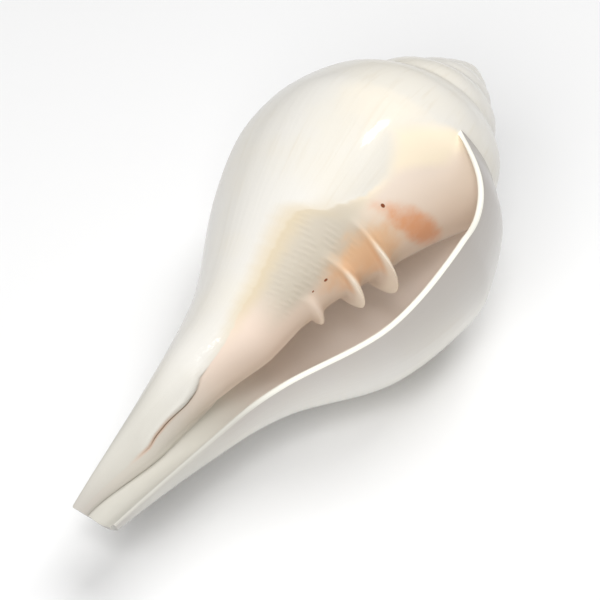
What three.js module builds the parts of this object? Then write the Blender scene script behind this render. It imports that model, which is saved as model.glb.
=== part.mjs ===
// A conch shell of the heavy, smooth chank kind, lying on its back with its mouth turned up.
// It is one closed solid: body whorl, low spire, thin lip, folded columella and open canal.
//
// A snail grows its shell by adding to the lip, so every point of the shell has an age,
// counted here in turns behind the lip, and a place along the lip's outline, which runs
// from 0 at the suture to 1 at the end of the canal. The surface is the outline, shrunk
// by a fixed factor for each turn of age. The earlier whorl is the inner wall of the mouth.

import * as THREE from 'three';
import { mergeVertices } from 'three/addons/utils/BufferGeometryUtils.js';

const { smoothstep, clamp, lerp, degToRad } = THREE.MathUtils;

// Size and growth, in millimetres. The apex is at the top of the axis, where depth is 0.
const LENGTH = 135;
const RADIUS_GROWTH = 1.53; // a whorl's radius over that of the whorl before it
const DEPTH_GROWTH = 1.71; // the same for its depth below the apex
const TIP_GROWTH = 0.02; // how much of that depth growth is left at the canal's end

// The outline of the youngest whorl as radius and depth, from shoulder to canal.
const SHOULDER = [31.2, 35.1];
const SUTURE = [36, 46.4]; // where the next whorl would be laid on this one
const WIDEST = [36.7, 55];
const BELLY = [31.7, 74];
const NECK = [18.1, 93];
const CANAL = [11.9, 109.2];
const TIP = [6.2, LENGTH];
const SUTURE_AT = 2 / 7; // place of SUTURE along the outline

// The lip's edge, as ages at equal steps from the suture to the canal's end.
const LIP_AGES = [0, 0.055, 0.056, 0.073, 0.081, 0.11];
const LIP_THICKNESS = 1.4;
const WALL_THICKNESS = 3;
const SUTURE_THINNING = 0.3; // part of the thickness left next to the suture
const CORNER_STEP = 0.04; // part of the outline that the wall covers where the lip joins

// The hollow. It runs back one turn at the top and a good third of a turn in the canal.
const HOLLOW_AGE = 1;
const GUTTER_AGE = 0.38;
const HOLLOW_END = 0.1; // age over which the hollow's end is rounded

// The columella: a waist, and three folds given by their place, the age they start at and their height.
const WAIST_DEPTH = 5.4;
const WAIST_AGE = 0.68;
const FOLDS = [[0.588, 0.975, 5.4], [0.634, 0.98, 4.6], [0.686, 1.025, 2.6]];
const FOLD_WIDTH = 0.006;
const FOLD_LEAN = 0.5; // a fold hangs down by this much of its height
const SWELLING = { age: 0.7, along: 0.48, height: 1.1 }; // a low rise on the left of the body whorl

// The canal is opened to a gutter: its left side slopes down to a valley, and its end is cut back.
const GUTTER_FROM = 0.76;
const GUTTER_EDGE = 0.6; // age of the gutter's left edge
const VALLEY_FLOOR = 1.9; // thickness left under the valley
const SLOPE_START = 0.5; // how far the slope runs on along the whorl, over its width
const SLOPE_DROP = 0.45; // how steeply it drops into the valley, over its width
const SIDE_TRIM = 1.5;
const UNDER_TRIM = 1;

// The canal bends aside. The spire leans the other way and is a little blunt.
const BEND_FROM = 70;
const CANAL_BEND = [0.5, -2.6];
const LEAN_FROM = 44;
const SPIRE_LEAN = [6.4, -0.2];
const BLUNTING = 0.6;

// The resting pose: which way is up in the shell's own frame, and the worn flat under it.
const UP_AZIMUTH = degToRad(-42);
const UP_TILT = degToRad(7);
const FLAT_DEPTH = 0.9;

// Facets.
const STEPS_PER_TURN = 44;
const SPIRE_TURNS = 4;
const SHOULDER_ROWS = 4;
const LIP_STEPS = 2;
const BODY_ROWS = 26;
const HOLLOW_STEPS = 22;

const TURN = 2 * Math.PI;
const ROW_END = SUTURE_AT + CORNER_STEP;

const suture = [SUTURE[0] / RADIUS_GROWTH, SUTURE[1] / DEPTH_GROWTH];
const outlinePoints = [suture, SHOULDER, SUTURE, WIDEST, BELLY, NECK, CANAL, TIP];
const outline = new THREE.SplineCurve(outlinePoints.map(([r, d]) => new THREE.Vector2(r, d)));
const lipCurve = new THREE.SplineCurve(LIP_AGES.map((age) => new THREE.Vector2(0, age)));

function lipAge(along) {
  return lipCurve.getPoint(along).y;
}

// Radius and depth of the plain whorl.
function whorl(age, along) {
  const point = outline.getPoint(along);
  const share = lerp(1, TIP_GROWTH, smoothstep(along, SUTURE_AT, 1));
  const radius = point.x * RADIUS_GROWTH ** -age;
  const depth = point.y * DEPTH_GROWTH ** (-age * share);
  return new THREE.Vector2(radius, depth);
}

// How much the canal's end is cut back: most on its underside, least on its slope.
function trim(age, along) {
  const side = SIDE_TRIM * (1 - smoothstep(age, 0.6, 0.9));
  const under = UNDER_TRIM * smoothstep(age, 0.1, 0.25) * (1 - smoothstep(age, 0.45, 0.6));
  return (0.5 + side + under) * smoothstep(along, 0.86, 1);
}

// The whorl with the swelling, the waist, and the folds that show on the columella. A fold
// is a sharp crest on a broad foot, and gets lower as it runs back into the shell.
function skin(age, along) {
  const point = whorl(age, along);
  const young = RADIUS_GROWTH ** -(age - 1);
  const fade = (1 - 0.6 * smoothstep(age, 1.16, 1.3)) * (1 - smoothstep(age, 1.4, 1.8)) * young;
  for (const [at, start, height] of FOLDS) {
    const off = Math.abs(along - at) / FOLD_WIDTH;
    const crest = 0.8 * Math.exp(-(off ** 2.5)) + 0.2 * Math.exp(-((off / 3) ** 1.5));
    const fold = height * crest * smoothstep(age, start - 0.03, start + 0.175) * fade;
    point.x += fold;
    point.y += FOLD_LEAN * fold;
  }
  const swell = ((along - SWELLING.along) / 0.07) ** 2 + ((age - SWELLING.age) / 0.12) ** 2;
  point.x += SWELLING.height * Math.exp(-swell);
  const low = clamp((along - 0.38) / 0.62, 0, 1);
  const waist = smoothstep(low, 0, 0.33) * (1 - 0.5 * smoothstep(low, 0.38, 0.68));
  const deep = RADIUS_GROWTH ** -Math.max(age - 1.2, 0);
  point.x -= WAIST_DEPTH * waist * smoothstep(age, WAIST_AGE, WAIST_AGE + 0.4) * deep;
  point.y -= trim(age, along);
  return point;
}

// The inner face of the wall, which is thinnest at the lip.
function wall(age, along) {
  const step = 0.001;
  const point = whorl(age, along);
  const before = whorl(age, Math.max(along - step, 0));
  const after = whorl(age, Math.min(along + step, 1));
  const behindLip = smoothstep(age - lipAge(along), 0, 0.18);
  const canalThinning = 1 - 0.4 * smoothstep(along, 0.7, 1);
  const thinning = canalThinning * lerp(SUTURE_THINNING, 1, smoothstep(along, 0, 0.22));
  const thickness = lerp(LIP_THICKNESS, WALL_THICKNESS, behindLip) * thinning * RADIUS_GROWTH ** -age;
  const inward = new THREE.Vector2(before.y - after.y, after.x - before.x).normalize();
  point.addScaledVector(inward, thickness);
  point.y -= trim(age, along);
  return point;
}

// How far back the hollow runs, in turns, for a place along the columella.
function hollowEnd(along) {
  return lerp(GUTTER_AGE, HOLLOW_AGE, smoothstep(0.85 - along, 0, 0.28)) + 0.1 * smoothstep(along, 0.9, 1);
}

// A point round the axis, by its radius and its age.
function around(radius, age) {
  return new THREE.Vector2(radius * Math.cos(TURN * age), radius * Math.sin(TURN * age));
}

// A point in the shell's own frame, with the canal's gutter, its bend and the spire's lean.
function place(age, along, { x: radius, y: depth }) {
  const end = hollowEnd(along);
  const width = outline.getPoint(along).x;
  const left = around(width * RADIUS_GROWTH ** -GUTTER_EDGE, GUTTER_EDGE);
  const valley = around(width * RADIUS_GROWTH ** -end - VALLEY_FLOOR, end);
  const across = valley.clone().sub(left);
  const rise = new THREE.Vector2(across.y, -across.x);
  const start = left.clone().add(around(SLOPE_START * across.length(), GUTTER_EDGE + 0.25));
  const arrival = valley.clone().addScaledVector(across, -0.2).addScaledVector(rise, SLOPE_DROP);
  const part = clamp((age - GUTTER_EDGE) / (1 + end - GUTTER_EDGE), 0, 1);
  const slope = new THREE.CubicBezierCurve(left, start, arrival, valley).getPoint(part);
  const open = age > GUTTER_EDGE ? smoothstep(along, GUTTER_FROM, 0.94) : 0;
  const point = around(radius, age).lerp(slope, open);
  const bend = smoothstep(depth, BEND_FROM, LENGTH);
  const lean = smoothstep(LEAN_FROM - depth, 0, LEAN_FROM);
  point.x += CANAL_BEND[0] * bend + SPIRE_LEAN[0] * lean;
  point.y += CANAL_BEND[1] * bend + SPIRE_LEAN[1] * lean;
  return new THREE.Vector3(point.x, point.y, -depth - BLUNTING * smoothstep(40 - depth, 0, 40));
}

const steps = (count) => Array.from({ length: count + 1 }, (_, i) => i / count);

// Rows down the body whorl, as fractions of its height: even, and closer over each fold.
function bodyRows() {
  const folds = FOLDS.map(([at]) => (at - ROW_END) / (1 - ROW_END));
  const reach = FOLD_WIDTH / (1 - ROW_END);
  const even = steps(BODY_ROWS).filter((row) => folds.every((at) => Math.abs(row - at) > 2 * reach));
  const close = folds.flatMap((at) => [-1.4, -0.6, 0, 0.6, 1.4].map((part) => at + part * reach));
  return [...even, ...close].sort((a, b) => a - b);
}

const positions = [];
const triangles = [];

// Adds a sheet of points, given as lines of equal length, and joins it with triangles.
function addSheet(lines) {
  const first = positions.length / 3;
  const width = lines[0].length;
  lines.flat().forEach((point) => positions.push(point.x, point.y, point.z));
  const index = lines.map((line, i) => line.map((_, j) => first + i * width + j));
  for (let i = 0; i + 1 < lines.length; i += 1) {
    for (let j = 0; j + 1 < width; j += 1) {
      const [a, b] = [index[i][j], index[i][j + 1]];
      const [d, c] = [index[i + 1][j], index[i + 1][j + 1]];
      triangles.push(a, b, c, a, c, d);
    }
  }
  return index;
}

// The body whorl, one turn back from the lip. Its rows start below the suture at the lip
// and end where the next turn's suture lies, so the rows over the suture fan out of a corner.
const rows = bodyRows();
const shoulder = steps(SHOULDER_ROWS).map((part) => part * SUTURE_AT);
const cover = steps(LIP_STEPS).slice(1).map((part) => SUTURE_AT + part * CORNER_STEP);
const body = rows.slice(1).map((row) => lerp(ROW_END, 1, row));
const rowEnds = [...shoulder, ...cover, ...body];
const fanRows = SHOULDER_ROWS + LIP_STEPS;
const rowStarts = rowEnds.map((_, i) => (i < fanRows ? 0 : rows[i - fanRows]));

const bodyWhorl = steps(STEPS_PER_TURN).map((back) => rowEnds.map((end, i) => {
  const along = lerp(rowStarts[i], end, Math.min(back / 0.8, 1));
  const age = lerp(lipAge(rowStarts[i]), 1, back);
  return place(age, along, skin(age, along));
}));
const bodyIndex = addSheet(bodyWhorl);

// The spire: the part of each earlier whorl that the next one leaves uncovered.
const spire = steps(STEPS_PER_TURN * SPIRE_TURNS).map((back) => shoulder.map((along) => {
  const age = 1 + back * SPIRE_TURNS;
  return place(age, along, skin(age, along));
}));
const spireIndex = addSheet(spire);

// The mouth: the columella side and the wall side draw together at the hollow's end.
const columellaSide = [];
const wallSide = [];
for (const back of steps(HOLLOW_STEPS)) {
  const columellaLine = [];
  const wallLine = [];
  for (const row of rows) {
    const low = lerp(ROW_END, 1, row);
    const end = hollowEnd(low);
    const columella = place(1 + end * back, low, skin(1 + end * back, low));
    const age = lerp(lipAge(row), end, back);
    const inner = place(age, row, wall(age, row));
    const ceiling = columellaLine.length ? columellaLine[0].raw : columella;
    inner.lerp(ceiling, 1 - smoothstep(row, 0, 0.14));
    const late = clamp(1 - (1 - back) * (end / HOLLOW_END), 0, 1);
    const middle = columella.clone().lerp(inner, 0.5);
    const closing = Math.sqrt(1 - late ** 2);
    const near = middle.clone().lerp(columella, closing);
    near.raw = columella;
    columellaLine.push(near);
    wallLine.push(middle.clone().lerp(inner, closing));
  }
  columellaSide.push(columellaLine);
  wallSide.unshift(wallLine);
}
const columellaIndex = addSheet(columellaSide);
const wallIndex = addSheet(wallSide);

// The rounded lip, from its inner to its outer edge. Its top end lies on the whorl before.
const lip = steps(LIP_STEPS).map((part) => rows.map((row, i) => {
  if (i === 0) return bodyWhorl[STEPS_PER_TURN][fanRows - Math.round(part * LIP_STEPS)].clone();
  const inner = wallSide[HOLLOW_STEPS][i];
  const outer = bodyWhorl[0][fanRows + i];
  const angle = TURN * lipAge(row);
  const forward = new THREE.Vector3(Math.sin(angle), -Math.cos(angle), 0);
  const bulge = 0.4 * inner.distanceTo(outer) * Math.sin(Math.PI * part) * smoothstep(row, 0, 0.14);
  return inner.clone().lerp(outer, part).addScaledVector(forward, bulge);
}));
const lipIndex = addSheet(lip);

// The canal's end, closed across the ring of last points, facing down the axis.
const lastOf = (line) => line[line.length - 1];
const ring = [
  ...bodyIndex.map(lastOf),
  ...columellaIndex.slice(1).map(lastOf),
  ...wallIndex.slice(1).map(lastOf),
  ...lipIndex.slice(1, -1).map(lastOf),
];
const flatRing = ring.map((i) => new THREE.Vector2(positions[3 * i], positions[3 * i + 1]));
for (const [a, b, c] of THREE.ShapeUtils.triangulateShape(flatRing, [])) {
  const turned = THREE.ShapeUtils.area([flatRing[a], flatRing[b], flatRing[c]]) > 0;
  triangles.push(ring[a], turned ? ring[c] : ring[b], turned ? ring[b] : ring[c]);
}

// The apex, a fan over the top of the spire.
const apex = positions.length / 3;
positions.push(SPIRE_LEAN[0], SPIRE_LEAN[1], -BLUNTING);
const topTurn = spireIndex.slice(-STEPS_PER_TURN - 1, -1).map((line) => line[0]);
const topRing = [...topTurn, ...lastOf(spireIndex).slice(0, -1)];
topRing.forEach((point, i) => triangles.push(point, topRing[(i + 1) % topRing.length], apex));

// Points that meet are merged, and triangles with no width left out.
const loose = new THREE.BufferGeometry();
loose.setAttribute('position', new THREE.Float32BufferAttribute(positions, 3));
loose.setIndex(triangles);
const geometry = mergeVertices(loose, 0.001);
const corners = Array.from(geometry.index.array);
const kept = [];
for (let i = 0; i < corners.length; i += 3) {
  const [a, b, c] = corners.slice(i, i + 3);
  if (a !== b && b !== c && c !== a) kept.push(a, b, c);
}
geometry.setIndex(kept);

// Laid down to rest: +X runs along the axis to the spire, and the lowest skin is worn flat.
const flatUp = Math.cos(UP_TILT);
const up = new THREE.Vector3(flatUp * Math.cos(UP_AZIMUTH), flatUp * Math.sin(UP_AZIMUTH), Math.sin(UP_TILT));
const axis = new THREE.Vector3(0, 0, 1).addScaledVector(up, -up.z).normalize();
const across = new THREE.Vector3().crossVectors(up, axis);
geometry.applyMatrix4(new THREE.Matrix4().makeBasis(axis, across, up).transpose());
geometry.computeBoundingBox();
const floor = geometry.boundingBox.min.z + FLAT_DEPTH;
const { position } = geometry.attributes;
for (let i = 0; i < position.count; i += 1) {
  position.setZ(i, Math.max(position.getZ(i), floor));
}
geometry.computeBoundingBox();
const middle = geometry.boundingBox.getCenter(new THREE.Vector3());
geometry.translate(-middle.x, -middle.y, -floor);
geometry.computeVertexNormals();

const porcelain = new THREE.MeshStandardMaterial({ color: 0xf3ebe1, roughness: 0.28, metalness: 0 });
const shell = new THREE.Mesh(geometry, porcelain);
shell.name = 'shell';

const conch = new THREE.Group();
conch.add(shell);

export default conch;
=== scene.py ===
# %% [markdown]
# # A conch shell, mouth up
# This lesson dresses the plain solid of a conch shell. The solid is a fixed frame: it gives
# the size, the place and the resting pose, and the finished surface keeps close to it.

import math
import bmesh
import bpy
import numpy as np
from mathutils import Matrix, Vector


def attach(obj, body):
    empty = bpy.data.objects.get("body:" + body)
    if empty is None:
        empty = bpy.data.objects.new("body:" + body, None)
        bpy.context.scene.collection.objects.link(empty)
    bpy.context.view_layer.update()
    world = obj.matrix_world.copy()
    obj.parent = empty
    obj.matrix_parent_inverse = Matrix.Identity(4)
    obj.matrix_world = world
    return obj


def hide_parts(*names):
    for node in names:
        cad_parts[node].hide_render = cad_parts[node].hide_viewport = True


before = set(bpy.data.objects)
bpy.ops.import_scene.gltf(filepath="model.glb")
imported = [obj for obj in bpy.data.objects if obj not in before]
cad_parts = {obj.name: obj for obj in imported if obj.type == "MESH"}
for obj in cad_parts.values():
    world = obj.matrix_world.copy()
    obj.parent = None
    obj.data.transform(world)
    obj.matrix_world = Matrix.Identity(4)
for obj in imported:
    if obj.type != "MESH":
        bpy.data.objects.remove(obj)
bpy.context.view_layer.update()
print("nodes:", sorted(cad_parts))

# %% [markdown]
# ## How a shell grows
# A snail adds to the lip of its shell and turns as it grows, so each point has an age, counted
# in turns behind the lip, and a place along the lip's outline, from 0 at the suture to 1 at
# the canal's end. A shell could be sculpted by hand. Here it is a formula in these two
# numbers, since that gives every whorl, the mouth's inner wall and the spire from one outline.

# %% The outline and its growth
RADIUS_GROWTH = 1.53
DEPTH_GROWTH = 1.71
TIP_GROWTH = 0.02
LENGTH = 135.0
SUTURE = (36.0, 46.4)
# Radius and depth below the apex, in millimetres, at equal steps along the outline.
OUTLINE = np.array([
    (SUTURE[0] / RADIUS_GROWTH, SUTURE[1] / DEPTH_GROWTH),
    (31.2, 35.1),
    SUTURE,
    (36.7, 55.0),
    (31.7, 74.0),
    (18.1, 93.0),
    (11.9, 109.2),
    (6.2, LENGTH),
])
SUTURE_AT = 2 / 7
# The age of the lip's edge, at equal steps along the outline.
LIP_AGES = np.array([0, 0.055, 0.056, 0.073, 0.081, 0.11])[:, None]
TURN = 2 * math.pi
MM_PER_METRE = 1000


def ramp(value, low, high):
    """A smooth step: 0 below low, 1 above high, and 3t^2 - 2t^3 between them."""
    part = np.clip((value - low) / (high - low), 0, 1)
    return part * part * (3 - 2 * part)


def band(value, low, full, fade, high):
    """1 from full to fade and 0 outside low to high, with a smooth step on either side."""
    return ramp(value, low, full) * (1 - ramp(value, fade, high))


def hump(offset, width):
    """A rounded hump, 1 in the middle: exp(-(offset / width)^2)."""
    return np.exp(-(offset / width) ** 2)


def between(first, last, part):
    """The point that lies that part of the way from first to last."""
    return first + (last - first) * part


def spline(points, part):
    """A smooth curve through points at equal steps: on each span a cubic whose end slopes
    are half the step between the neighbours on either side."""
    last = len(points) - 1
    at = np.clip(part, 0, 1) * last
    span = np.minimum(at.astype(int), last - 1)
    t = (at - span)[..., None]
    p0 = points[np.maximum(span - 1, 0)]
    p1 = points[span]
    p2 = points[span + 1]
    p3 = points[np.minimum(span + 2, last)]
    slope1 = (p2 - p0) / 2
    slope2 = (p3 - p1) / 2
    bend = -3 * p1 + 3 * p2 - 2 * slope1 - slope2
    twist = 2 * p1 - 2 * p2 + slope1 + slope2
    return p1 + t * (slope1 + t * (bend + t * twist))


def lip_age(along):
    """The age at which the lip's edge lies, since the lip isn't straight."""
    return spline(LIP_AGES, along)[..., 0]


def whorl(age, along):
    """Radius and depth of the plain whorl: the outline, shrunk by a fixed factor a turn. Down
    the canal the depth shrinks less, because every whorl's canal ends at about one level."""
    point = spline(OUTLINE, along)
    share = between(1, TIP_GROWTH, ramp(along, SUTURE_AT, 1))
    radius = point[..., 0] * RADIUS_GROWTH ** -age
    depth = point[..., 1] * DEPTH_GROWTH ** (-age * share)
    return radius, depth


print("outline:", len(OUTLINE), "points, widest", OUTLINE[:, 0].max(), "mm")

# %% [markdown]
# ## Folds, glaze and skin
# The columella, the pillar that the whorls turn round, has a waist and three sharp folds. Over
# it and over the wall of the mouth the snail lays a glaze, the callus. It has an uneven edge,
# stands a little proud, and has fine ridges that run on from the folds. Each of these is a
# height over the plain whorl, a function of age and place, so it follows the shell's turn.

# %% Folds on the columella
# Each fold: its place, its drift on the way in, the age it starts at, its height in mm.
FOLDS = (
    (0.585, 0.003, 0.975, 5.4),
    (0.637, -0.003, 0.98, 4.6),
    (0.693, -0.008, 1.025, 2.6),
)
FOLD_LEAN = 0.5
CREST_WIDTH = 0.0053
FOOT_WIDTH = 0.016


def folds(age, along):
    """Height of the folds: each is a sharp crest on a broad foot, both of the form
    exp(-(offset / width)^power), and grows from its start in age, then fades inside."""
    fade = (1 - 0.6 * ramp(age, 1.16, 1.3)) * (1 - ramp(age, 1.4, 1.8)) * RADIUS_GROWTH ** -(age - 1)
    height = 0
    for at, drift, start, tall in FOLDS:
        off = np.abs(along - at - drift * ramp(age, 0.97, 1.06))
        form = 0.8 * np.exp(-(off / CREST_WIDTH) ** 2.5) + 0.2 * np.exp(-(off / FOOT_WIDTH) ** 1.5)
        height = height + tall * form * ramp(age, start - 0.03, start + 0.175)
    return height * fade


print("folds at", [fold[0] for fold in FOLDS])

# %% Glaze, flap and ridges
# Points of the glaze's edge: the place along the outline, and the age there.
GLAZE_EDGE = np.array([
    (0.28, 1.0), (0.39, 0.964), (0.45, 0.932), (0.51, 0.966), (0.545, 0.96), (0.592, 0.92),
    (0.61, 0.87), (0.66, 0.863), (0.75, 0.882), (0.81, 0.93), (0.83, 0.953), (0.844, 1.004),
    (0.859, 1.04), (0.88, 1.055), (0.895, 1.085), (0.905, 1.13), (1.0, 1.17),
])
EDGE_WOBBLE = 0.004
EDGE_WAVES = 130
GLAZE_HEIGHT = 0.22
FLAP_HEIGHT = 0.5
ROLL_HEIGHT = 0.3
BEAD_HEIGHT = 0.3
BEAD_AT = (1.15, 0.716)
BEAD_SLANT = 0.5
BEAD_WIDTH = 0.014
RIDGE_HEIGHT = 0.13
RIDGE_STEP = 0.0069
RIDGE_SLANT = 9
RISE_HEIGHT = 0.8
RISE_WIDTH = 0.05
RISE_AT = (0.918, 0.44)


def ripple(value, seed):
    """A wavy line between -1 and 1: the mean of three sines whose lengths don't fit together."""
    parts = [np.sin(value * rate + seed * (1 + rate)) for rate in (1.0, 2.3, 4.1)]
    return sum(parts) / len(parts)


def behind_edge(age, along):
    """How far a point lies behind the glaze's uneven edge, in turns of age."""
    edge = np.interp(along, *GLAZE_EDGE.T)
    uneven = EDGE_WOBBLE * ripple(along * EDGE_WAVES, 2.0) * band(along, 0.5, 0.56, 0.76, 0.82)
    return age - edge - uneven


def ridges(age, along):
    """Fine broken ridges along the turn: a sine of the place, in two patches beside the glaze's
    edge. Each ridge has its own number, and comes and goes with a sine that starts from it."""
    phase = along / RIDGE_STEP + RIDGE_SLANT * (age - 0.9) + 0.06 * ripple(age * 60, 1.0)
    upper = band(age, 0.85, 0.9, 1.0, 1.05) * band(along, 0.59, 0.62, 0.7, 0.735)
    lower = band(age, 0.84, 0.86, 0.88, 0.9) * band(along, 0.75, 0.78, 0.815, 0.83)
    broken = ramp(np.sin(age * 95 + 40 * np.sin(9.7 * np.floor(phase + 0.25))), -0.9, 0.8)
    return np.sin(TURN * phase) * broken * np.maximum(upper, lower)


def relief(age, along):
    """How far the surface stands proud: by a low rise on the body whorl, and on the columella by
    the glaze, thickest at its upper edge, the rolled flap of the outer layer that overlaps the
    canal, a bead along the columella's lower edge, and the ridges."""
    behind = behind_edge(age, along)
    glazed = ramp(behind, -0.006, 0.01) * band(along, 0.48, 0.53, 0.74, 0.79)
    glazed = glazed * (1 - 0.5 * ramp(along, 0.57, 0.62))
    flap = band(behind, -0.16, -0.02, -0.006, 0.006)
    rolled = FLAP_HEIGHT * flap + ROLL_HEIGHT * hump(behind + 0.03, 0.025)
    rolled = rolled * band(along, 0.81, 0.84, 0.89, 0.92)
    off_bead = age - BEAD_AT[0] - BEAD_SLANT * (along - BEAD_AT[1])
    bead = hump(off_bead, BEAD_WIDTH) * band(along, 0.69, 0.73, 0.82, 0.86)
    proud = GLAZE_HEIGHT * glazed + rolled + BEAD_HEIGHT * bead + RIDGE_HEIGHT * ridges(age, along)
    rise = RISE_HEIGHT * hump(age - RISE_AT[0], RISE_WIDTH) * hump(along - RISE_AT[1], RISE_WIDTH)
    return rise + proud * band(age, 0.6, 0.7, 1.2, 1.3)


print("glaze edge from age", GLAZE_EDGE[:, 1].min(), "to", GLAZE_EDGE[:, 1].max())

# %% Skin and wall
SWELLING_HEIGHT = 1.1
SWELLING_AT = (0.7, 0.48)
SWELLING_WIDTH = (0.12, 0.07)
WAIST_DEPTH = 5.4
WAIST_START = 0.38
TRIM_START = 0.86
LIP_THICKNESS = 1.4
WALL_THICKNESS = 3.0
CANAL_REACH = 0.8


def trim(age, along):
    """How much the canal's end is cut back, in millimetres: most on its underside."""
    cut = 0.5 + 1.5 * (1 - ramp(age, 0.6, 0.9)) + band(age, 0.1, 0.25, 0.45, 0.6)
    return cut * ramp(along, TRIM_START, 1)


def skin(age, along):
    """Radius and depth of the outer skin, and the relief on it: the whorl, less the waist, plus
    a low swelling and the folds, which lean towards the canal."""
    radius, depth = whorl(age, along)
    fold = folds(age, along)
    swelling = hump(age - SWELLING_AT[0], SWELLING_WIDTH[0])
    swelling = swelling * hump(along - SWELLING_AT[1], SWELLING_WIDTH[1])
    low = np.clip((along - WAIST_START) / (1 - WAIST_START), 0, 1)
    waist = ramp(low, 0, 0.33) * (1 - 0.5 * ramp(low, 0.38, 0.68))
    waist = waist * ramp(age, 0.68, 1.08) * RADIUS_GROWTH ** -np.maximum(age - 1.2, 0)
    radius = radius + fold + SWELLING_HEIGHT * swelling - WAIST_DEPTH * waist
    depth = depth + FOLD_LEAN * fold - trim(age, along)
    return radius, depth, relief(age, along)


def wall(age, along):
    """Radius and depth of the wall's inner face: the whorl, moved along its own normal by the
    wall's thickness, which is least at the lip, in the canal and at the suture. At the canal's
    end the inner face reaches a little past the skin."""
    step = 0.001
    radius, depth = whorl(age, along)
    radius0, depth0 = whorl(age, np.maximum(along - step, 0))
    radius1, depth1 = whorl(age, np.minimum(along + step, 1))
    slope = np.hypot(radius1 - radius0, depth1 - depth0)
    grown = ramp(age - lip_age(along), 0, 0.18)
    thick = between(LIP_THICKNESS, WALL_THICKNESS, grown) * RADIUS_GROWTH ** -age
    thick = thick * (1 - 0.4 * ramp(along, 0.7, 1)) * between(0.3, 1, ramp(along, 0, 0.22))
    radius = radius - thick * (depth1 - depth0) / slope
    depth = depth + thick * (radius1 - radius0) / slope
    return radius, depth - trim(age, along) + CANAL_REACH * ramp(along, 0.95, 1)


print("wall", LIP_THICKNESS, "mm thick at the lip,", WALL_THICKNESS, "mm behind it")

# %% [markdown]
# ## From radius and depth to a place in space
# The canal is an open gutter, so its inner side is drawn across to a floor. The canal bends a
# little, and the spire leans the other way. Last, the shell is turned from its own frame, with
# its axis upright, into the frame of the solid, where it lies on its back.

# %% Gutter, bend, lean and resting pose
UP_AZIMUTH = math.radians(-42)
UP_TILT = math.radians(7)
APEX_AT = (66.814, 3.331, 35.677)
LEFT_AGE = 0.6
CANAL_HOLLOW = 0.38
VALLEY_DROP = 1.9
CANAL_BEND = 0.5 - 2.6j
BEND_START = 70.0
SPIRE_LEAN = 6.4 - 0.2j
LEAN_DEPTH = 44.0
BLUNT_BY = 0.6
BLUNT_DEPTH = 40.0
UP = np.array((
    math.cos(UP_TILT) * math.cos(UP_AZIMUTH),
    math.cos(UP_TILT) * math.sin(UP_AZIMUTH),
    math.sin(UP_TILT),
))
AXIS = np.array((0, 0, 1)) - UP * UP[2]
AXIS = AXIS / np.linalg.norm(AXIS)
REST = np.array((AXIS, np.cross(UP, AXIS), UP))


def hollow_end(along):
    """How many turns the hollow runs back, for a place along the columella: all round at the
    top, and a good third of a turn in the canal."""
    return between(CANAL_HOLLOW, 1.0, ramp(0.85 - along, 0, 0.28)) + 0.1 * ramp(along, 0.9, 1)


def gutter(age, along):
    """The canal's open side, as complex numbers across the axis: a cubic curve that leaves the
    left edge along the whorl and drops into the valley at the hollow's end. With it comes the
    direction that points out of the gutter."""
    end = hollow_end(along)
    width = spline(OUTLINE, along)[..., 0]
    edge = np.exp(1j * TURN * LEFT_AGE)
    left = width * RADIUS_GROWTH ** -LEFT_AGE * edge
    valley = (width * RADIUS_GROWTH ** -end - VALLEY_DROP) * np.exp(1j * TURN * end)
    across = valley - left
    start = left + 0.5j * np.abs(across) * edge
    arrival = valley - (0.2 + 0.45j) * across
    part = np.clip((age - LEFT_AGE) / (1 + end - LEFT_AGE), 0, 1)
    other = 1 - part
    curve = other ** 3 * left + 3 * other ** 2 * part * start
    curve = curve + 3 * other * part ** 2 * arrival + part ** 3 * valley
    return curve, -1j * across / np.abs(across)


def place(age, along, radius, depth, proud=0.0):
    """A point of the shell in its own frame, in millimetres: radius at the angle of its age, as a
    complex number across the axis, drawn to the gutter's curve in the canal. The relief is
    added outwards, then the bend, the lean and the blunting of the tip."""
    round_axis = np.exp(1j * TURN * age)
    curve, out_of_gutter = gutter(age, along)
    opened = ramp(along, 0.76, 0.94) * (age > LEFT_AGE)
    outward = between(round_axis, out_of_gutter, opened)
    spot = between(radius * round_axis, curve, opened) + proud * outward
    spot = spot + CANAL_BEND * ramp(depth, BEND_START, LENGTH)
    spot = spot + SPIRE_LEAN * ramp(LEAN_DEPTH - depth, 0, LEAN_DEPTH)
    height = -depth - BLUNT_BY * ramp(BLUNT_DEPTH - depth, 0, BLUNT_DEPTH)
    return np.stack((spot.real, spot.imag, height), axis=-1)


def lay_down(points):
    """Points of the shell's own frame, turned to the resting pose, worn flat below, in metres."""
    laid = points @ REST.T + APEX_AT
    laid[:, 2] = np.maximum(laid[:, 2], 0)
    return laid / MM_PER_METRE


print("up in the shell's own frame:", [round(part, 3) for part in UP])

# %% [markdown]
# ## One closed sheet
# The shell's surface is a row of grids that meet along their edges: the body whorl, the spire,
# the two sides of the mouth and the lip. Each grid is computed as whole arrays, and the edges
# are merged afterwards. Lines lie closer together where the folds and the ridges are, which
# shows them sharply without giving the plain back as many faces.

# %% Lines of the grids
ROWS = 206
LINES = 190
HOLLOW_LINES = 64
SHOULDER_ROWS = 16
LIP_STEPS = 8
SPIRE_TURNS = 6
ROW_END = SUTURE_AT + 0.04
ROW_FAN = 0.8
SUTURE_FADE = 0.14
ROUND_END = 0.1
FINE_STEPS = 2000


def spread(count, density):
    """Places from 0 to 1, closer where density is greater: the density's running sum, read
    backwards at equal steps."""
    fine = np.linspace(0, 1, FINE_STEPS + 1)
    total = np.concatenate(([0], np.cumsum(density((fine[1:] + fine[:-1]) / 2))))
    return np.interp(np.linspace(0, total[-1], count + 1), total, fine)


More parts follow.
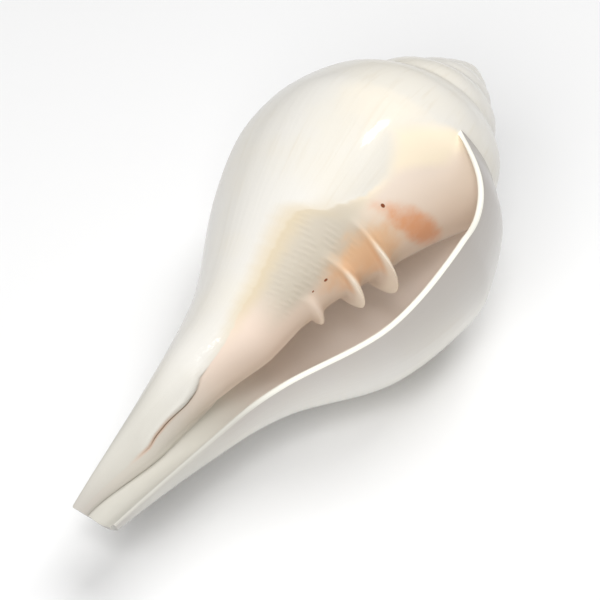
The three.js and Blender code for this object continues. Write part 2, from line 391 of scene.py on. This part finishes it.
def row_density(row):
    """Rows lie closest over the folds and the ridges, and closer along the flap."""
    along = between(ROW_END, 1, row)
    return 1 + 3.4 * band(along, 0.48, 0.56, 0.71, 0.74) + 1.8 * band(along, 0.74, 0.76, 0.92, 0.95)


rows = spread(ROWS, row_density)
backs = spread(LINES, lambda back: 1 + 2.2 * ramp(back, 0.76, 0.84))
hollows = spread(HOLLOW_LINES, lambda back: 3 - 2 * ramp(back, 0, 0.3))
print("rows", len(rows), "lines", len(backs), "lines in the hollow", len(hollows))

# %% Body whorl and spire
shoulder = np.linspace(0, SUTURE_AT, SHOULDER_ROWS + 1)
cover = np.linspace(SUTURE_AT, ROW_END, LIP_STEPS + 1)[1:]
row_ends = np.concatenate((shoulder, cover, between(ROW_END, 1, rows[1:])))
fan = SHOULDER_ROWS + LIP_STEPS
row_starts = np.concatenate((np.zeros(fan), rows))

back = backs[:, None]
body_along = between(row_starts, row_ends, np.minimum(back / ROW_FAN, 1))
body_age = between(lip_age(row_starts), 1, back)
body = place(body_age, body_along, *skin(body_age, body_along))

spire_back = np.append(np.add.outer(np.arange(SPIRE_TURNS), backs[:-1]), SPIRE_TURNS)[:, None]
spire_age = 1 + spire_back + 0 * shoulder
spire_along = shoulder + 0 * spire_back
spire = place(spire_age, spire_along, *skin(spire_age, spire_along))
print("body whorl", body.shape[:2], "spire", spire.shape[:2])

# %% The two sides of the mouth
back = hollows[:, None]
end = hollow_end(between(ROW_END, 1, rows))
columella_age = 1 + end * back
columella_along = between(ROW_END, 1, rows) + 0 * back
columella = place(columella_age, columella_along, *skin(columella_age, columella_along))
wall_age = between(lip_age(rows), end, back)
wall_along = rows + 0 * back
inner = place(wall_age, wall_along, *wall(wall_age, wall_along))
inner = between(inner, columella[:, :1], 1 - ramp(rows, 0, SUTURE_FADE)[:, None])

# The two sides draw together in a round end at the back of the hollow.
late = np.clip(1 - (1 - back) * end / ROUND_END, 0, 1)
closing = np.sqrt(1 - late ** 2)[..., None]
middle = (columella + inner) / 2
columella = between(middle, columella, closing)
inner = between(middle, inner, closing)
print("columella", columella.shape[:2], "wall", inner.shape[:2])

# %% The lip
part = np.linspace(0, 1, LIP_STEPS + 1)[:, None]
lip_angle = TURN * lip_age(rows)
forward = np.stack((np.sin(lip_angle), -np.cos(lip_angle), 0 * rows), axis=-1)
gap = np.linalg.norm(body[0, fan:] - inner[0], axis=-1)
bulge = 0.5 * gap * np.sqrt(1 - (2 * part - 1) ** 2) * ramp(rows, 0, SUTURE_FADE)
lip = between(inner[0], body[0, fan:], part[..., None]) + forward * bulge[..., None]
lip[:, 0] = body[-1, SHOULDER_ROWS:fan + 1][::-1]
lip_along = rows + 0 * part
lip_ages = lip_age(rows) + 0 * part
print("lip thickness", round(gap[rows > SUTURE_FADE].min(), 2), "to", round(gap.max(), 2), "mm")

# %% [markdown]
# ## Joining the grids
# Each grid keeps its own age and place as a UV map on the face corners, so that a colour can
# follow the growth of the shell, also across a suture where two ages meet. Three more numbers
# are kept at the corners: the side of the shell that the grid is on, how far the point lies
# behind the glaze's edge, and how high it stands on a fold.

# %% Faces of the grids
OUTSIDE, PILLAR, WALL, LIP_EDGE = range(4)
MERGE_DISTANCE = 2e-6
SMALLEST_EDGE = 1e-7
SHARP_ANGLE = math.radians(60)
grids = {
    "body": (OUTSIDE, body, body_age, body_along),
    "spire": (OUTSIDE, spire, spire_age, spire_along),
    "columella": (PILLAR, columella, columella_age, columella_along),
    "wall": (WALL, inner[::-1], wall_age[::-1], wall_along[::-1]),
    "lip": (LIP_EDGE, lip, lip_ages, lip_along),
}


def grid_faces(number):
    """Four corners of every cell of a grid, from the numbers of its points."""
    corners = (number[:-1, :-1], number[:-1, 1:], number[1:, 1:], number[1:, :-1])
    return np.stack(corners, axis=-1).reshape(-1, 4)


numbers = {}
faces = []
first = 0
for name, (side, spots, age, along) in grids.items():
    numbers[name] = first + np.arange(age.size).reshape(age.shape)
    faces += grid_faces(numbers[name]).tolist()
    first += age.size
points = np.concatenate([spots.reshape(-1, 3) for side, spots, age, along in grids.values()])
ages = np.concatenate([age.ravel() for side, spots, age, along in grids.values()])
alongs = np.concatenate([along.ravel() for side, spots, age, along in grids.values()])
sides = np.concatenate([np.full(age.size, side) for side, spots, age, along in grids.values()])

canal_end = np.concatenate((
    numbers["body"][:, -1],
    numbers["columella"][1:, -1],
    numbers["wall"][1:, -1],
    numbers["lip"][1:-1, -1],
))
faces.append(canal_end.tolist()[::-1])
apex = np.concatenate((numbers["spire"][-len(backs):-1, 0], numbers["spire"][-1, :-1]))
faces.append(apex.tolist())
print("faces:", len(faces))

# %% The shell's mesh
mesh = bpy.data.meshes.new("conch_shell")
mesh.from_pydata(lay_down(points), [], faces)
corner_points = np.zeros(len(mesh.loops), dtype=np.int32)
mesh.loops.foreach_get("vertex_index", corner_points)
growth = mesh.uv_layers.new(name="growth")
growth.data.foreach_set("uv", np.stack((ages, alongs), axis=-1)[corner_points].ravel())


def mark(name, values):
    """Keeps one number for each point of the grids, as an attribute of the mesh's corners."""
    made = mesh.attributes.new(name, "FLOAT", "CORNER")
    made.data.foreach_set("value", values[corner_points].astype(np.float32))


mark("side", sides)
mark("behind", np.where(sides < WALL, behind_edge(ages, alongs), -1))
mark("crest", np.where(sides < WALL, folds(ages, alongs) / FOLDS[0][-1], 0))

build = bmesh.new()
build.from_mesh(mesh)
bmesh.ops.remove_doubles(build, verts=build.verts, dist=MERGE_DISTANCE)
bmesh.ops.dissolve_degenerate(build, edges=build.edges, dist=SMALLEST_EDGE)
build.to_mesh(mesh)
volume = build.calc_volume(signed=True)
build.free()
mesh.shade_smooth()
mesh.set_sharp_from_angle(angle=SHARP_ANGLE)
shell = bpy.data.objects.new("conch_shell", mesh)
bpy.context.scene.collection.objects.link(shell)
edge_of = np.zeros(len(mesh.loops), dtype=np.int32)
mesh.loops.foreach_get("edge_index", edge_of)
open_edges = np.count_nonzero(np.bincount(edge_of, minlength=len(mesh.edges)) != 2)
print("open edges", open_edges, "volume", round(volume * 1e6, 1), "cubic centimetres")
print("triangles", len(mesh.loops) - 2 * len(mesh.polygons))

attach(shell, "root")
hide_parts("shell")

# %% [markdown]
# ## Porcelain
# The shell is glossy and dense, ivory outside, cream and orange on the glaze, and pinkish
# beige inside, painted lighter there to stand in for light that shines through the thin wall.
# The colours are mixed with masks. A small class wraps a node's output, so that masks can be
# written as sums in Python, and each sum adds its Math node.

# %% A wire that can be calculated with
class Wire:
    """An output of a node, which can be used in sums with numbers and other wires."""

    def __init__(self, tree, socket=None):
        self.tree = tree
        self.socket = socket

    def node(self, kind, settings=(), sockets=(), out=0):
        """Adds a node: its kind, its settings, then the values or wires of its inputs."""
        made = self.tree.nodes.new(kind)
        for name, value in dict(settings).items():
            setattr(made, name, value)
        for name, value in dict(sockets).items():
            if isinstance(value, Wire):
                self.tree.links.new(value.socket, made.inputs[name])
            else:
                made.inputs[name].default_value = value
        return Wire(self.tree, made.outputs[out]) if made.outputs else None

    def maths(self, operation, first, second):
        """Adds a Math node that joins two values or wires."""
        return self.node("ShaderNodeMath", {"operation": operation}, {0: first, 1: second})

    def __add__(self, other):
        return self.maths("ADD", self, other)

    def __sub__(self, other):
        return self.maths("SUBTRACT", self, other)

    def __rsub__(self, other):
        return self.maths("SUBTRACT", other, self)

    def __mul__(self, other):
        return self.maths("MULTIPLY", self, other)

    __radd__ = __add__
    __rmul__ = __mul__

    def step(self, low, high):
        """A smooth step between low and high, from 0 to 1."""
        settings = {"interpolation_type": "SMOOTHSTEP"}
        sockets = {"Value": self, "From Min": low, "From Max": high}
        return self.node("ShaderNodeMapRange", settings, sockets)

    def band(self, low, full, fade, high):
        """1 from full to fade and 0 outside low to high."""
        return self.step(low, full) * (1 - self.step(fade, high))

    def mix(self, first, second):
        """Goes from the first colour to the second as this wire goes from 0 to 1."""
        return self.node("ShaderNodeMix", {"data_type": "RGBA"}, {0: self, 6: first, 7: second}, out=2)


def colour(red, green, blue):
    """A colour given as it looks on screen, 0 to 255, in the linear values that shaders use."""
    parts = np.array((red, green, blue)) / 255
    linear = np.where(parts > 0.04045, ((parts + 0.055) / 1.055) ** 2.4, parts / 12.92)
    return (*linear.tolist(), 1.0)


print("half grey on screen is", round(colour(128, 128, 128)[0], 3), "in linear values")

# %% Places on the shell
LINES_STRETCH = (110.0, 5.0, 1.0)
CLOUD_SCALE = 45.0
FINE_SCALE = 260.0

finish = bpy.data.materials.new("porcelain")
finish.use_nodes = True
finish.node_tree.nodes.clear()
wire = Wire(finish.node_tree)
spot = wire.node("ShaderNodeTexCoord", out="Object")
growth_map = wire.node("ShaderNodeUVMap", {"uv_map": "growth"})
age = wire.node("ShaderNodeSeparateXYZ", (), {0: growth_map}, out="X")
along = wire.node("ShaderNodeSeparateXYZ", (), {0: growth_map}, out="Y")
side_of = wire.node("ShaderNodeAttribute", {"attribute_name": "side"}, out="Fac")
behind = wire.node("ShaderNodeAttribute", {"attribute_name": "behind"}, out="Fac")
crest = wire.node("ShaderNodeAttribute", {"attribute_name": "crest"}, out="Fac")


def noise(vector, scale, detail):
    """Soft random cloud, about 0.3 to 0.7, with so many lumps to a unit of the vector."""
    sockets = {"Vector": vector, "Scale": scale, "Detail": detail}
    return wire.node("ShaderNodeTexNoise", (), sockets, out="Fac")


stretched = wire.node("ShaderNodeMapping", (), {"Vector": growth_map, "Scale": LINES_STRETCH})
growth_lines = noise(stretched, 1.0, 4.0)
cloud = noise(spot, CLOUD_SCALE, 3.0)
fine = noise(spot, FINE_SCALE, 4.0)


def on_side(number):
    """1 on the grids that carry this side's number, 0 on the others."""
    return side_of.band(number - 0.6, number - 0.4, number + 0.4, number + 0.6)


def patch(at_age, at_along, wide, high, soft=True, place_along=along):
    """1 in the middle of a spot of that width in age and height in place, 0 outside it."""
    across = (age - at_age) * (1 / wide)
    down = (place_along - at_along) * (1 / high)
    wobble = (fine - 0.5) * 0.8
    inside = 1 - (across * across + down * down + wobble).step(0, 1)
    return inside * inside if soft else inside.step(0.2, 0.5)


on_columella = on_side(PILLAR)
on_wall = on_side(WALL)
on_lip = on_side(LIP_EDGE)
below_suture = along.step(0.29, 0.33)
crisp = along.step(0.5, 0.55)
soft_edge = behind.step(-0.015, 0.02)
glazed = (soft_edge + crisp * (behind.step(-0.004, 0.006) - soft_edge)) * below_suture
print("nodes for the places:", len(finish.node_tree.nodes))

# %% The skin's colours
IVORY = colour(231, 228, 221)
MILK = colour(233, 227, 213)
SAND = colour(219, 208, 188)
# A grey for the skin by the lip: the thin shell's own tone with painted shade in it.
THIN_AND_SHADED = colour(179, 172, 166)
CREAM = colour(252, 238, 213)
BUFF = colour(218, 202, 172)

skin_colour = (cloud.step(0.4, 0.65) * 0.6).mix(IVORY, MILK)
skin_colour = (growth_lines.step(0.5, 0.75) * cloud.step(0.35, 0.6) * 0.3).mix(skin_colour, SAND)
skin_colour = (patch(0.905, 0.4, 0.09, 0.11) * 0.25).mix(skin_colour, CREAM)
fringe = behind.step(-0.05, 0.0) * along.band(0.56, 0.62, 0.72, 0.84)
skin_colour = (fringe * 0.7).mix(skin_colour, BUFF)
# Near the lip the skin is painted greyer: partly the thin shell's own tone, partly painted shade on
# the band that faces away from the lamps.
skin_colour = (1 - age.step(0.03, 0.2)).mix(skin_colour, THIN_AND_SHADED)
print("nodes with the skin:", len(finish.node_tree.nodes))

# %% The glaze's colours
PALE = colour(207, 198, 182)
PINK = colour(238, 219, 203)
MAUVE = colour(244, 229, 214)
CREST = colour(247, 236, 220)
# The inside's pinkish tone, painted near white: painted light that stands in for light shining through
# the thin wall.
LIT_INSIDE = colour(255, 244, 234)
ORANGE = colour(238, 156, 92)
AMBER = colour(238, 188, 136)
RUST = colour(140, 76, 44)
# Each dot of rust: its age, its place, its width and its height.
RUST_DOTS = (
    (0.995, 0.545, 0.006, 0.003),
    (1.031, 0.656, 0.006, 0.003),
    (1.029, 0.675, 0.004, 0.002),
)

mouth_line = age - 1.016 + (along - 0.43).step(0.0, 0.08) * 0.046
in_mouth = mouth_line.step(-0.015, 0.015) * (1 - along.step(0.54, 0.6))
glaze_colour = along.step(0.52, 0.6).mix(CREAM, PALE)
glaze_colour = along.step(0.69, 0.76).mix(glaze_colour, PINK)
buff_rim = (1 - behind.step(0.0, 0.05)) * along.band(0.57, 0.62, 0.72, 0.8)
glaze_colour = (buff_rim * 0.8).mix(glaze_colour, BUFF)
glaze_colour = (age.step(0.99, 1.05) * along.step(0.56, 0.6) * 0.7).mix(glaze_colour, PINK)
glaze_colour = in_mouth.mix(glaze_colour, MAUVE)
# The stains: amber between the folds, and an orange streak that slants above them.
glaze_colour = (patch(1.06, 0.605, 0.11, 0.09) * 0.7).mix(glaze_colour, AMBER)
streak = patch(1.1, 0.763, 0.15, 0.032, place_along=along + age * 0.22) * 0.75
glaze_colour = streak.mix(glaze_colour, ORANGE)
glaze_colour = crest.step(0.2, 0.6).mix(glaze_colour, CREST)
for dot in RUST_DOTS:
    glaze_colour = patch(*dot, soft=False).mix(glaze_colour, RUST)
# Deep in the mouth the columella takes the inside's colour, with its painted light.
glaze_colour = (age.step(1.2, 1.4) * on_columella).mix(glaze_colour, LIT_INSIDE)
print("nodes with the glaze:", len(finish.node_tree.nodes))

# %% Canal, slit, wall and lip
BROWN = colour(128, 92, 58)
LIP = colour(250, 247, 236)
CANAL = colour(205, 202, 193)

body_colour = glazed.mix(skin_colour, glaze_colour)
body_colour = (along.step(0.8, 0.9) * 0.85).mix(body_colour, CANAL)
# Towards the canal's end the skin is mixed half way to the same grey, so it is darker towards the tip.
body_colour = (along.step(0.92, 1.0) * 0.5).mix(body_colour, THIN_AND_SHADED)
# The flap of the outer layer ends in a brown slit, with a tint of orange below it.
below_slit = behind.band(-0.04, 0.0, 0.0, 0.04) * along.band(0.86, 0.89, 0.9, 0.93)
body_colour = (below_slit * 0.35).mix(body_colour, ORANGE)
slit = behind.band(-0.002, 0.004, 0.006, 0.016) * along.band(0.838, 0.855, 0.895, 0.905)
body_colour = (slit * 0.8).mix(body_colour, BROWN)
# The wall's inner face goes from the lip's colour to the inside's colour, with its painted light.
wall_colour = age.step(0.06, 0.2).mix(LIP, LIT_INSIDE)
wall_colour = along.step(0.62, 0.8).mix(wall_colour, CANAL)
shell_colour = on_wall.mix(body_colour, wall_colour)
shell_colour = on_lip.mix(shell_colour, along.step(0.68, 0.82).mix(LIP, CANAL))
print("nodes with all colours:", len(finish.node_tree.nodes))

# %% The shell's finish
ROUGHNESS = 0.29
COAT = 0.5
COAT_ROUGHNESS = 0.07
BUMP_STRENGTH = 0.1
BUMP_DISTANCE = 0.001

# The glaze beside the folds is matt, and the flap and the canal are dull.
matt = along.band(0.52, 0.62, 0.72, 0.82) * behind.step(-0.05, 0.0)
dull = along.step(0.76, 0.83) * behind.step(-0.26, -0.18)
bumpy = growth_lines * (1 - glazed) * (1 - on_wall) + fine * 0.4
normal = wire.node("ShaderNodeBump", (), {
    "Height": bumpy,
    "Strength": BUMP_STRENGTH,
    "Distance": BUMP_DISTANCE,
})
surface = wire.node("ShaderNodeBsdfPrincipled", (), {
    "Base Color": shell_colour,
    "Roughness": ROUGHNESS + 0.16 * cloud * (1 - glazed) + 0.1 * on_wall + 0.25 * matt + 0.1 * dull,
    "Coat Weight": COAT * (1 - matt) * (1 - dull),
    "Coat Roughness": COAT_ROUGHNESS,
    "Normal": normal,
})
wire.node("ShaderNodeOutputMaterial", (), {"Surface": surface})
mesh.materials.append(finish)
print("nodes in the finish:", len(finish.node_tree.nodes))

# %% [markdown]
# ## Floor, camera and light
# The shell lies on a plain pale floor. The camera stands above the canal's side and looks down
# into the mouth. Two large soft lamps light the shell without showing in its gloss. A small
# lamp above the camera gives the one highlight on the body whorl.

# %% Floor and world
FLOOR_HALF = 3.0
FLOOR_GREY = (0.9, 0.9, 0.9, 1)
FLOOR_ROUGHNESS = 0.9
WORLD_STRENGTH = 0.14

floor_mesh = bpy.data.meshes.new("floor")
corners = np.array([(-1, -1, 0), (1, -1, 0), (1, 1, 0), (-1, 1, 0)]) * FLOOR_HALF
floor_mesh.from_pydata(corners, [], [(0, 1, 2, 3)])
floor = bpy.data.objects.new("floor", floor_mesh)
bpy.context.scene.collection.objects.link(floor)
pale = bpy.data.materials.new("pale_floor")
pale.use_nodes = True
pale.node_tree.nodes["Principled BSDF"].inputs["Base Color"].default_value = FLOOR_GREY
pale.node_tree.nodes["Principled BSDF"].inputs["Roughness"].default_value = FLOOR_ROUGHNESS
floor_mesh.materials.append(pale)

world = bpy.data.worlds.new("studio")
bpy.context.scene.world = world
world.use_nodes = True
world.node_tree.nodes["Background"].inputs["Color"].default_value = (1, 1, 1, 1)
world.node_tree.nodes["Background"].inputs["Strength"].default_value = WORLD_STRENGTH
bpy.context.scene.view_settings.view_transform = "Standard"
print("floor", 2 * FLOOR_HALF, "m wide, world strength", WORLD_STRENGTH)

# %% Camera
RIGHT = Vector((0.54886, -0.83588, 0.00779))
HIGH = Vector((0.61379, 0.40932, 0.67507))
BACK = Vector((-0.56746, -0.36574, 0.73772))
SEEN_AT = Vector((-0.183, 3.331, 27.451))
SEEN_PIXEL = (287.2, 288.8)
PICTURE = 600
SENSOR = 36
DISTANCE = 519.0
PIXELS_PER_MM = 4.9235

shift = RIGHT * (PICTURE / 2 - SEEN_PIXEL[0]) - HIGH * (PICTURE / 2 - SEEN_PIXEL[1])
eye = (SEEN_AT + BACK * DISTANCE + shift / PIXELS_PER_MM) / MM_PER_METRE
camera = bpy.data.cameras.new("camera")
camera.sensor_width = SENSOR
camera.lens = PIXELS_PER_MM * DISTANCE / PICTURE * SENSOR
camera_object = bpy.data.objects.new("camera", camera)
turn = Matrix((RIGHT, HIGH, BACK)).transposed()
camera_object.matrix_world = Matrix.Translation(eye) @ turn.to_4x4()
bpy.context.scene.collection.objects.link(camera_object)
bpy.context.scene.camera = camera_object
print("camera at", [round(part, 3) for part in eye], "lens", round(camera.lens, 1), "mm")

# %% Lamps
# Each lamp: its name, direction, distance and size in metres, power in watts, shown in gloss.
LAMPS = (
    ("front_softbox", BACK * 0.95 - RIGHT * 0.18, 0.8, 0.5, 4.2, False),
    ("top_softbox", BACK * 0.5 + HIGH * 0.8 + RIGHT * 0.25, 0.8, 0.5, 3.9, False),
    ("key", BACK * 0.97 + HIGH * 0.24 - RIGHT * 0.02, 0.7, 0.11, 0.6, True),
)
for name, direction, distance, size, power, mirrored in LAMPS:
    light = bpy.data.lights.new(name, "AREA")
    light.size = size
    light.energy = power
    lamp = bpy.data.objects.new(name, light)
    stand = SEEN_AT / MM_PER_METRE + direction.normalized() * distance
    aim = SEEN_AT / MM_PER_METRE - stand
    turned = aim.to_track_quat("-Z", "Y").to_matrix().to_4x4()
    lamp.matrix_world = Matrix.Translation(stand) @ turned
    lamp.visible_glossy = mirrored
    bpy.context.scene.collection.objects.link(lamp)
    print(name, "at", [round(part, 2) for part in stand])
